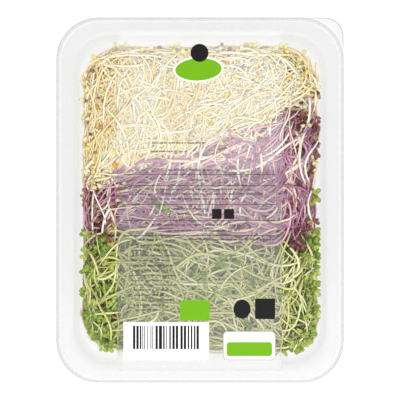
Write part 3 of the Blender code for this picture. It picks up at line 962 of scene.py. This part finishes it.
def turned(ahead, up):
    """Rotation matrices with +X along ahead and +Z near up, for (n, 3) arrays."""
    ahead = ahead / np.linalg.norm(ahead, axis=1, keepdims=True)
    across = np.cross(up, ahead)
    across /= np.maximum(np.linalg.norm(across, axis=1, keepdims=True), 1e-9)
    upward = np.cross(ahead, across)
    return np.stack([ahead, across, upward], axis=2)


def placed(shape, places, turns, sizes):
    """Copies of a shape as real points and faces."""
    points, triangles = shape
    moved = np.einsum("nij,pj->npi", turns, points) * sizes[:, None, None] + places[:, None]
    faces = triangles[None] + (np.arange(len(places)) * len(points))[:, None, None]
    return moved.reshape(-1, 3), faces.reshape(-1, 3), len(points)


def leaf_pairs(draw, places, size):
    """Pairs of seed leaves that spread from their places, mostly facing up and outwards."""
    n = len(places)
    yaw = draw.uniform(0, 2 * math.pi, n)
    tilt = draw.normal(0, 0.45, (n, 2))
    up = np.stack([tilt[:, 0], tilt[:, 1], np.ones(n)], axis=1)
    points = []
    turns = []
    sizes = []
    for way in (0.0, 1.0):
        angle = yaw + way * draw.uniform(2.2, 3.3, n)
        ahead = np.stack([np.cos(angle), np.sin(angle), draw.uniform(-0.25, 0.35, n)], axis=1)
        points.append(places)
        turns.append(turned(ahead, up))
        sizes.append(draw.uniform(0.8, 1.15, n) * size)
    return np.concatenate(points), np.concatenate(turns), np.concatenate(sizes)


def leaves(name, draw, zone, shapes, places, size, surface, painted_shade):
    """One piece of seed leaves, each pair with one of the shapes."""
    spots, turns, sizes = leaf_pairs(draw, places, size)
    tint = draw.uniform(0, 1, len(spots))
    painted_shade = np.tile(painted_shade, 2)
    kind = np.tile(draw.integers(0, len(shapes), len(places)), 2)
    groups = []
    for number, shape in enumerate(shapes):
        own = kind == number
        points, triangles, each = placed(shape, spots[own], turns[own], sizes[own])
        points = moved_inside(points, each, zone)
        groups.append((points, triangles, np.repeat(tint[own], each), np.repeat(painted_shade[own], each)))
    add_joined(name, groups, surface)


def seed_leaves(name, draw, zone, shapes, shown, more, size, surface, gap_shades=()):
    """Seed leaves at the photograph's heads and at random places, with painted shade deeper down."""
    places = np.concatenate([shown, more])
    painted_shade = np.clip((BED_TOP - places[:, 2]) / LEAF_SHADE_DEPTH, 0, 1) * gap_shade(places, *gap_shades)
    leaves(name, draw, zone, shapes, places, size, surface, painted_shade)


def bead_shape(rows=7, sides=8):
    """A slightly pointed round seed coat of radius 1."""
    rings = []
    for row in range(1, rows):
        angle = math.pi * row / rows
        r = math.sin(angle) ** 0.9
        z = math.cos(angle) * 1.15
        rings.append([(r * math.cos(2 * math.pi * k / sides), r * math.sin(2 * math.pi * k / sides), z)
                      for k in range(sides)])
    return capped(rings, (0, 0, 1.2), (0, 0, -1.15))


def seed_coats(name, draw, pixels, large, count, small, ends, shades, shade_and_glow_colour, roughness):
    """The cream bunch's seed coats: large ones where the photograph has them, small ones anywhere."""
    spots = pixel_places(draw, pixels, BED_TOP, 0.0002)
    more = random_places(draw, CREAM, count, 0.003, 0.004, BED_TOP - 0.002, 0.005, ends)
    sizes = np.concatenate([draw.uniform(*large, len(spots)), draw.uniform(*small, len(more))])
    places = np.concatenate([spots, more])
    n = len(places)
    turns = turned(draw.normal(0, 1, (n, 3)), draw.normal(0, 1, (n, 3)))
    points, faces, each = placed(bead_shape(), places, turns, sizes)
    points = moved_inside(points, each, CREAM)
    tint = np.repeat(draw.uniform(0, 1, n), each)
    surface = plant_material(name, shades, shade_and_glow_colour, roughness)
    add_mesh(name, points, faces, surface, {"tint": tint, "painted_shade": 0 * tint})


def core(name, zone, top, surface):
    """The dense middle of the tangle, up to a height, as four levels of a grid."""
    columns, rows = 40, 16
    x = np.linspace(-1, 1, columns + 1) * (wall_half(RIM_X, MIDDLE_Z) - CORE_ROOM)
    points = []
    for z, inset in ((0.0085, 0.004), (0.014, 0.001), (top - 0.0045, 0.002), (top, 0.006)):
        low = zone.low(x, MIDDLE_Z, CORE_ROOM) + (CORE_GAP if zone.low_edge else inset)
        high = zone.high(x, MIDDLE_Z, CORE_ROOM) - (CORE_GAP if zone.high_edge else inset)
        for share in np.linspace(0, 1, rows + 1):
            y = low + (high - low) * share
            lumps = 0.0012 * np.sin(x * 900 + 3 * np.sin(y * 700)) * np.sin(y * 1100 + z * 900)
            shrink = 1 - inset / 0.056
            points.append(np.stack([x * shrink, y + lumps * 0.5, z + lumps + 0 * x], axis=-1))
    flat = np.array(points).reshape(-1, 3)
    number = np.arange(len(flat)).reshape(4, rows + 1, columns + 1)
    faces = [grid_quads(number[3]), grid_quads(number[0])[:, ::-1]]
    rings = border(number)
    for low, high in zip(rings, rings[1:]):
        faces.append(np.stack([low, np.roll(low, -1), np.roll(high, -1), high], axis=-1))
    used = np.concatenate(faces)
    kept, again = np.unique(used, return_inverse=True)
    # Painted shade by place, which the core's material shows as darker strands.
    add_mesh(name, flat[kept], again.reshape(used.shape), surface, {"painted_shade": gap_shade(flat[kept])})


def sunk(draw, flat, top, deepest, drop=EDGE_DROP):
    """Level places with a height under the bed's top, and lower near the walls."""
    return at_height(flat, top - draw.uniform(0, deepest, len(flat)) - edge_drop(flat, drop))


def pixel_places(draw, pixels, z, shake=0.0008):
    """Places of heads or seeds at pixels of the photograph, at a height with a little variety."""
    flat = np.array([spot(px, py) for px, py in pixels])
    return sunk(draw, flat + draw.normal(0, shake, flat.shape), z, 0.0015, 0.005)


def heads(draw, pixels, each, spread, z):
    """Several places round each pixel of a list."""
    flat = np.repeat(np.array(pixels, float), each, axis=0)
    return pixel_places(draw, flat + draw.normal(0, spread, flat.shape), z)


def random_places(draw, zone, count, margin, room, top, deepest, ends=0.0):
    """Places anywhere in a bunch that have room to the walls."""
    flat = scatter(draw, zone, count, margin, ends)
    return sunk(draw, flat[wall_room(flat) > room], top, deepest)


CREAM_HEADS = (
    (91, 85), (100, 92), (108, 90), (97, 112), (93, 120), (104, 140), (93, 150), (96, 160), (93, 170),
    (97, 187), (93, 182), (103, 190), (287, 50), (291, 56), (286, 62), (294, 66), (288, 72), (296, 78),
    (283, 84), (275, 62), (250, 40), (256, 47), (243, 52), (150, 52), (132, 72), (160, 75), (180, 95),
    (140, 110), (125, 135), (262, 90), (240, 80), (223, 100), (305, 90), (300, 70), (303, 120), (262, 118),
    (270, 112),
)
GOLDEN_SEEDS = (
    (101, 127), (104, 137), (107, 89), (115, 165), (146, 62), (226, 62), (97, 107),
)
BROWN_SEEDS = (
    (92, 71), (98, 98), (109, 126), (107, 157), (160, 47), (230, 48), (222, 44), (88, 122), (90, 135),
    (120, 88), (86, 101), (104, 161), (95, 152), (282, 86), (310, 75),
)
PURPLE_HEADS = (
    (93, 190), (100, 200), (95, 215), (105, 214), (100, 225), (110, 205), (88, 193), (112, 226), (104, 232),
    (96, 205), (108, 195), (114, 190), (90, 203), (291, 113), (297, 118), (288, 120), (300, 112),
    (296, 137), (297, 125), (315, 86), (317, 92), (317, 117), (319, 128), (290, 163), (298, 165),
    (305, 172), (314, 165), (319, 140), (296, 180), (304, 186), (290, 195), (302, 214), (308, 222),
    (297, 230), (303, 245), (296, 252), (290, 178), (310, 192), (299, 200), (318, 155), (286, 150),
    (292, 205), (305, 232),
)
YELLOW_HEADS_IN_PURPLE = (
    (263, 119), (270, 122), (225, 147), (231, 144), (138, 167), (148, 167), (125, 204), (122, 184),
    (199, 201), (235, 188), (211, 230), (272, 183), (312, 159), (314, 167), (306, 124), (241, 176),
    (182, 214),
)
GREEN_HEADS_IN_PURPLE = (
    (161, 207), (163, 211), (315, 199), (318, 196),
)
GREEN_HEADS_ON_TOP = (
    (254, 281), (256, 284), (217, 297), (221, 293), (200, 275), (208, 286), (223, 262), (123, 304),
    (231, 258), (286, 293), (244, 271),
)
GREEN_HEADS = (
    (85, 236), (95, 245), (100, 252), (106, 240), (110, 250), (107, 262), (88, 258), (92, 275), (108, 285),
    (112, 295), (104, 290), (86, 295), (95, 305), (90, 320), (100, 325), (98, 335), (108, 330), (103, 348),
    (112, 310), (110, 343), (85, 270), (90, 312), (97, 318), (93, 330), (113, 270), (113, 325), (315, 197),
    (318, 233), (311, 245), (305, 258), (313, 262), (317, 270), (308, 275), (318, 285), (312, 295),
    (305, 302), (315, 307), (308, 312), (313, 325), (305, 330), (297, 335), (315, 335), (300, 345),
    (307, 348), (318, 255), (296, 345), (310, 340), (317, 245), (288, 350), (300, 318), (255, 285),
    (256, 281), (222, 262), (238, 255), (215, 285), (205, 290), (225, 300), (286, 293), (160, 305),
    (190, 270), (210, 318), (245, 330), (130, 300),
)

# Middles of the pale stems that cross the purple bunch, and of the long ones among them
CROSSING = (
    (155, 205), (165, 190), (150, 225), (207, 185), (214, 195), (222, 180), (232, 195), (210, 210),
    (228, 215), (198, 175), (240, 205), (262, 165), (282, 200), (180, 180), (170, 165), (246, 160),
    (300, 150), (272, 215), (98, 203), (104, 220), (92, 212), (110, 196), (309, 120), (312, 150),
    (308, 205), (170, 160), (186, 157), (200, 163), (214, 156), (228, 160), (240, 148), (255, 152),
    (268, 140), (280, 146), (192, 170), (250, 172), (236, 178), (158, 178), (176, 187), (270, 128),
    (284, 126),
)
CROSSING_LONG = ((262, 165), (230, 150), (275, 178), (205, 165), (250, 140))


def cream_heading(middles):
    """Sweeping up to the right over the right half, and every way over the left."""
    right = np.clip((middles[:, 0] + 0.005) / 0.03, 0, 1)
    return 1.35 * (1 - right) + 0.55 * right


def purple_heading(middles):
    side = np.clip((np.abs(middles[:, 0]) - 0.030) / 0.012, 0, 1)
    return 0.1 * (1 - side) + 1.25 * side


def green_heading(middles):
    side = np.clip((np.abs(middles[:, 0]) - 0.034) / 0.010, 0, 1)
    tilt = np.where(middles[:, 0] > 0, -0.65, -0.1)
    return tilt * (1 - side) + 1.4 * side

def yellow_leaf_material(name):
    shades = ((0.0, (0.80, 0.60, 0.14)), (0.5, (0.90, 0.77, 0.28)), (1.0, (0.95, 0.88, 0.52)))
    # Painted shade in dark yellow, and a faint painted glow of it.
    return plant_material(name, shades, (0.70, 0.50, 0.14), 0.45, 0.04)


def green_leaf_material(name):
    shades = ((0.0, (0.10, 0.20, 0.008)), (0.4, (0.21, 0.36, 0.015)), (0.8, (0.36, 0.50, 0.04)),
              (1.0, (0.54, 0.62, 0.12)))
    return plant_material(name, shades, (0.05, 0.08, 0.006), 0.42)


def build_cream(draw):
    even = (0.5, 0.5)
    shades = ((0.0, (0.88, 0.67, 0.34)), (0.3, (0.94, 0.79, 0.50)), (0.65, (0.98, 0.89, 0.67)),
              (1.0, (0.99, 0.95, 0.84)))
    # The cream stems' painted shade is a warm tan, and they have a faint painted glow of it.
    stem = plant_material("cream_stems", shades, (0.98, 0.73, 0.28), 0.38, 0.018)
    parts = [
        top_stems(draw, CREAM, 760, cream_heading, 0.7, (0.024, 0.060), 1.1, 0.4, 0.0045, 0.00047, 0.003,
                  gap_shades=even),
        top_stems(draw, CREAM, 460, cream_heading, 0.55, (0.045, 0.085), 1.3, 0.4, 0.0025, 0.00044, 0.005,
                  gap_shades=even),
    ]
    lower_stems("cream_lower_stems", draw, CREAM, 600, 420, stem)
    # Painted light: the cream stems paler, with less painted shade, towards +X, the more lit side.
    piece = stems("cream_stems", [painted_side_light(part, 3.5, -4.0) for part in parts], stem)
    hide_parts("cream_sprouts")
    shown = heads(draw, CREAM_HEADS, 2, 2.0, BED_TOP - 0.0005)
    more = random_places(draw, CREAM, 300, 0.002, 0.003, BED_TOP - 0.0002, 0.0035)
    seed_leaves("cream_seed_leaves", draw, CREAM, OVAL_LEAVES, shown, more, 0.0035,
                yellow_leaf_material("cream_leaves"), even)
    seed_coats("golden_seed_coats", draw, GOLDEN_SEEDS, (0.0012, 0.0016), 50, (0.0006, 0.0010), 0.0,
               ((0.0, (0.55, 0.26, 0.03)), (1.0, (0.80, 0.47, 0.07))), (0.4, 0.2, 0.03), 0.35)
    seed_coats("brown_seed_coats", draw, BROWN_SEEDS, (0.0006, 0.0011), 60, (0.0004, 0.0007), 0.3,
               ((0.0, (0.16, 0.05, 0.03)), (1.0, (0.36, 0.14, 0.06))), (0.1, 0.04, 0.02), 0.4)
    surface = core_material("cream_core", (0.92, 0.70, 0.28), (0.99, 0.86, 0.50), (0.99, 0.87, 0.54))
    core("cream_core", CREAM, 0.0346, surface)


def build_purple(draw):
    shades = ((0.0, (0.38, 0.13, 0.26)), (0.35, (0.57, 0.29, 0.44)), (0.65, (0.74, 0.49, 0.55)),
              (0.82, (0.84, 0.66, 0.50)), (1.0, (0.90, 0.79, 0.56)))
    stem = plant_material("purple_stems", shades, (0.17, 0.045, 0.030), 0.38)
    parts = [
        top_stems(draw, PURPLE, 700, purple_heading, 0.7, (0.022, 0.055), 0.9, 0.35, 0.0100, 0.00048, 0.003,
                  gap_shades=(1.0, 1.0)),
        top_stems(draw, PURPLE, 210, purple_heading, 0.7, (0.030, 0.065), 0.9, 0.35, 0.003, 0.00056, 0.005),
    ]
    lower_stems("purple_lower_stems", draw, PURPLE, 320, 400, stem)
    piece = stems("purple_stems", parts, stem)
    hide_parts("purple_sprouts")
    middles, wide = (np.array([spot(px, py) for px, py in pixels]) for pixels in (CROSSING, CROSSING_LONG))
    crossing = [
        top_stems(draw, PURPLE, len(middles), 1.45, 0.35, (0.020, 0.042), 0.7, 0.3, 0.001, 0.00050, 0.008,
                  middles=middles),
        top_stems(draw, PURPLE, len(wide), 0.35, 0.25, (0.045, 0.060), 0.8, 0.2, 0.001, 0.00055, 0.010,
                  middles=wide),
    ]
    shades = ((0.0, (0.88, 0.76, 0.62)), (1.0, (0.96, 0.92, 0.84)))
    pale = plant_material("pale_crossing_stems", shades, (0.40, 0.25, 0.25), 0.38)
    stems("pale_crossing_stems", crossing, pale)
    shades = ((0.0, (0.10, 0.016, 0.018)), (0.5, (0.21, 0.045, 0.040)), (0.8, (0.36, 0.13, 0.09)),
              (1.0, (0.52, 0.42, 0.10)))
    leaf = plant_material("purple_leaves", shades, (0.05, 0.01, 0.02), 0.42)
    shown = heads(draw, PURPLE_HEADS, 2, 2.2, BED_TOP - 0.0012)
    more = random_places(draw, PURPLE, 170, 0.002, 0.008, BED_TOP - 0.003, 0.008, 0.35)
    seed_leaves("purple_seed_leaves", draw, PURPLE, NOTCHED_LEAVES, shown, more, 0.0034, leaf)
    for name, pixels, shapes, size, surface in (
            ("yellow_leaves_in_purple", YELLOW_HEADS_IN_PURPLE, OVAL_LEAVES, 0.0030,
             yellow_leaf_material("stray_yellow_leaves")),
            ("green_leaves_in_purple", GREEN_HEADS_IN_PURPLE, NOTCHED_LEAVES, 0.0040,
             green_leaf_material("stray_green_leaves"))):
        places = heads(draw, pixels, 1, 0.5, BED_TOP + 0.0010)
        leaves(name, draw, PURPLE, shapes, places, size, surface, np.zeros(len(places)))
    surface = core_material("purple_core", (0.08, 0.02, 0.02), (0.34, 0.14, 0.16), (0.34, 0.23, 0.24))
    core("purple_core", PURPLE, 0.0295, surface)


def build_green(draw):
    shades = ((0.0, (0.40, 0.45, 0.09)), (0.35, (0.58, 0.60, 0.20)), (0.7, (0.74, 0.74, 0.36)),
              (1.0, (0.88, 0.86, 0.56)))
    stem = plant_material("green_stems", shades, (0.11, 0.14, 0.008), 0.38)
    parts = [
        top_stems(draw, GREEN, 590, green_heading, 0.9, (0.022, 0.050), 0.9, 0.35, 0.0100, 0.00045, 0.003,
                  shallowest=0.001, gap_shades=(0.7, 1.0)),
        top_stems(draw, GREEN, 120, green_heading, 1.0, (0.030, 0.065), 1.0, 0.35, 0.0015, 0.00052, 0.005),
    ]
    beside = scatter(draw, GREEN, 500, 0.003, 0.5)
    beside = beside[np.abs(beside[:, 0]) > 0.038][:26]
    paths, radii, tint, painted_shade = top_stems(draw, GREEN, len(beside), 1.4, 0.6, (0.014, 0.034), 1.0, 0.4,
                                          0.0012, 0.00042, 0.004, middles=beside)
    # Painted shade: these stems beside the middle get less of it.
    parts.append((paths, radii, 0.42 + 0.40 * tint, 0.7 * painted_shade))
    lower_stems("green_lower_stems", draw, GREEN, 600, 460, stem)
    # Painted light: the green stems paler, with less painted shade, towards +X, the more lit side.
    piece = stems("green_stems", [painted_side_light(part, 2.0, -3.0) for part in parts], stem)
    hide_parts("green_sprouts")
    shown = np.concatenate([heads(draw, GREEN_HEADS, 2, 2.4, BED_TOP - 0.0008),
                            heads(draw, GREEN_HEADS_ON_TOP, 1, 0.8, BED_TOP + 0.0008)])
    more = random_places(draw, GREEN, 230, 0.002, 0.008, BED_TOP - 0.003, 0.009, 0.3)
    seed_leaves("green_seed_leaves", draw, GREEN, NOTCHED_LEAVES, shown, more, 0.0036,
                green_leaf_material("green_leaves"))
    surface = core_material("green_core", (0.06, 0.08, 0.008), (0.28, 0.32, 0.07), (0.38, 0.41, 0.20))
    core("green_core", GREEN, 0.0295, surface)


def build_stage():
    """A plain bright table and soft studio light."""
    half = 3
    low = -0.0002
    mesh = bpy.data.meshes.new("table")
    mesh.from_pydata([(-half, -half, low), (half, -half, low), (half, half, low), (-half, half, low)], [],
                     [(0, 1, 2, 3)])
    mesh.materials.append(Surface("table_white").finish({
        "Base Color": grey(0.12),
        "Roughness": 1.0,
        "Specular IOR Level": 0.0,
        "Emission Color": WHITE,
        "Emission Strength": 0.93,
    }))
    table = bpy.data.objects.new("table", mesh)
    bpy.context.scene.collection.objects.link(table)

    world = bpy.data.worlds.new("studio")
    world.use_nodes = True
    world.node_tree.nodes["Background"].inputs["Color"].default_value = (1, 1, 1, 1)
    world.node_tree.nodes["Background"].inputs["Strength"].default_value = 0.95
    bpy.context.scene.world = world
    lamp = bpy.data.lights.new("softbox", "AREA")
    lamp.size = 0.5
    lamp.energy = 4.3
    softbox = bpy.data.objects.new("softbox", lamp)
    softbox.location = (0.06, -0.30, 0.85)
    softbox.rotation_euler = (math.radians(20), math.radians(4), 0)
    bpy.context.scene.collection.objects.link(softbox)


def build_camera():
    lens = bpy.data.cameras.new("camera")
    lens.sensor_width = SENSOR
    lens.lens = CAMERA_ABOVE_RIM * SENSOR / (FRAME_PIXELS * PIXEL)
    lens.clip_start = 0.05
    lens.clip_end = 20
    camera = bpy.data.objects.new("camera", lens)
    camera.location = (0, 0, TRAY_HEIGHT + CAMERA_ABOVE_RIM)
    bpy.context.scene.collection.objects.link(camera)
    bpy.context.scene.camera = camera


build_camera()
build_stage()
bpy.context.scene.view_settings.view_transform = "Standard"
build_tray()
build_film()
build_label(np.random.default_rng(5))
build_cream(np.random.default_rng(11))
build_purple(np.random.default_rng(12))
build_green(np.random.default_rng(13))
